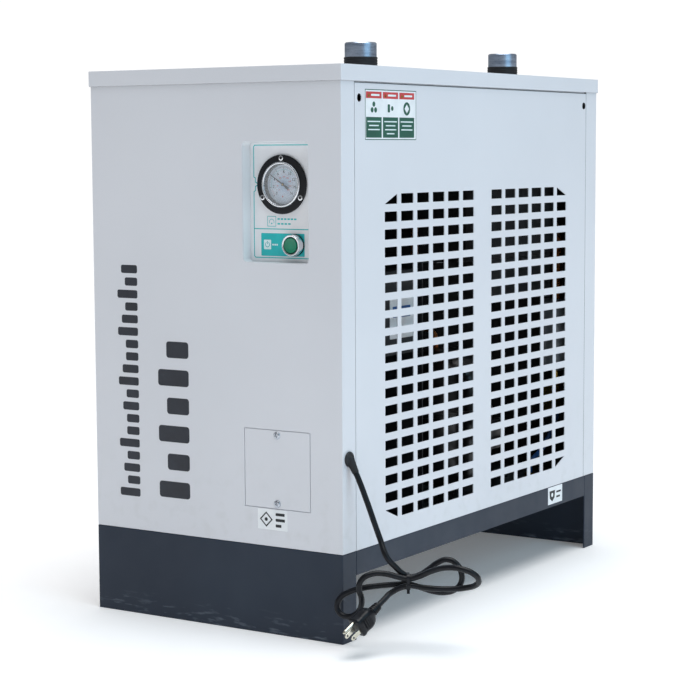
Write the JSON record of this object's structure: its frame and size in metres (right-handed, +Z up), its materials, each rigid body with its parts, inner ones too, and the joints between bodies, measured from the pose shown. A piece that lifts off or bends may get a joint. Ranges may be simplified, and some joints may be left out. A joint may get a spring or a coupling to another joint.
{
  "type": "refrigerated air dryer",
  "caption": "Sheet-metal refrigerated air dryer on a fork-lift base, with a recessed gauge and push button, slotted side panels, two air ports on the lid and a tied mains lead.",
  "frame": {"origin": "middle of the footprint, on the floor", "axes": "+Z up, -Y out of the front face, +X towards the slotted side with the mains lead"},
  "size_m": [0.6279, 0.8626, 0.824],
  "materials": {
    "panel_paint": "light grey powder coat",
    "base_paint": "slate grey powder coat",
    "pan_steel": "zinc plated",
    "tray_plastic": "satin",
    "overlay_film": "printed film",
    "black_plastic": "satin",
    "chrome": "polished",
    "clear_lens": "clear",
    "dial_print": "printed",
    "needle_paint": "matt",
    "button_green": "glossy",
    "socket_steel": "turned",
    "screw_steel": "zinc plated",
    "rubber": "matt",
    "foam_cover": "foam sheet",
    "compressor_paint": "semi-gloss",
    "fins": "finned",
    "dark_steel": "painted",
    "copper": "drawn tube",
    "brass": "turned",
    "bowl_grey": "painted",
    "hose_blue": "extruded",
    "pin_metal": "nickel plated"
  },
  "bodies": {
    "cabinet": {"base_front_channel": "base_paint", "base_rear_channel": "base_paint", "base_rail_right": "base_paint", "base_rail_left": "base_paint", "floor_pan": "pan_steel", "front_panel": "panel_paint", "rear_panel": "panel_paint", "right_side_panel": "panel_paint", "left_side_panel": "panel_paint", "top_lid": "panel_paint", "control_recess_tray": "tray_plastic", "control_overlay": "overlay_film", "gauge_case": "black_plastic", "gauge_bezel": "chrome", "gauge_lens": "clear_lens", "gauge_dial": "dial_print", "button_body": "black_plastic", "button_ring": "chrome", "button_contact_block": "black_plastic", "access_cover": "panel_paint", "cover_screw_1": "screw_steel", "cover_screw_2": "screw_steel", "inlet_port": "socket_steel", "outlet_port": "socket_steel", "inlet_port_seal": "rubber", "outlet_port_seal": "rubber", "inlet_pipe": "foam_cover", "outlet_pipe": "foam_cover", "heat_exchanger": "foam_cover", "exchanger_shelf": "pan_steel", "compressor": "compressor_paint", "compressor_foot_1": "rubber", "compressor_foot_2": "rubber", "compressor_foot_3": "rubber", "compressor_terminal_cover": "black_plastic", "condenser_coil": "fins", "fan_shroud": "dark_steel", "fan_motor": "dark_steel", "suction_line": "copper", "discharge_line": "copper", "liquid_line": "copper", "filter_drier": "copper", "water_separator": "bowl_grey", "separator_pipe": "socket_steel", "auto_drain": "black_plastic", "drain_hose": "hose_blue", "drain_outlet": "brass", "electrical_box": "dark_steel", "cable_gland": "black_plastic", "cord_lead": "rubber", "cord_hank": "rubber", "cord_tail": "rubber", "cord_tie": "black_plastic", "plug_body": "black_plastic", "plug_blade_front": "pin_metal", "plug_blade_back": "pin_metal", "plug_ground_pin": "pin_metal"},
    "push_button": {"button_cap": "button_green"},
    "gauge_pointer": {"gauge_needle": "needle_paint"},
    "fan_rotor": {"fan_blades": "dark_steel"}
  },
  "joints": [
    {"name": "button_press", "type": "slide", "parent": "cabinet", "child": "push_button", "axis": [0, 1, 0], "range_m": [0, 0.004], "stiffness_N_per_m": 500, "springref_m": -0.002},
    {"name": "gauge_pointer_turn", "type": "hinge", "parent": "cabinet", "child": "gauge_pointer", "pos_m": [0.107, -0.3805, 0.6245], "axis": [0, -1, 0], "range_deg": [-192, 78], "stiffness_Nm_per_rad": 0.002},
    {"name": "fan_spin", "type": "hinge", "parent": "cabinet", "child": "fan_rotor", "pos_m": [-0.1053, 0.09, 0.3203], "axis": [1, 0, 0], "continuous": true}
  ]
}
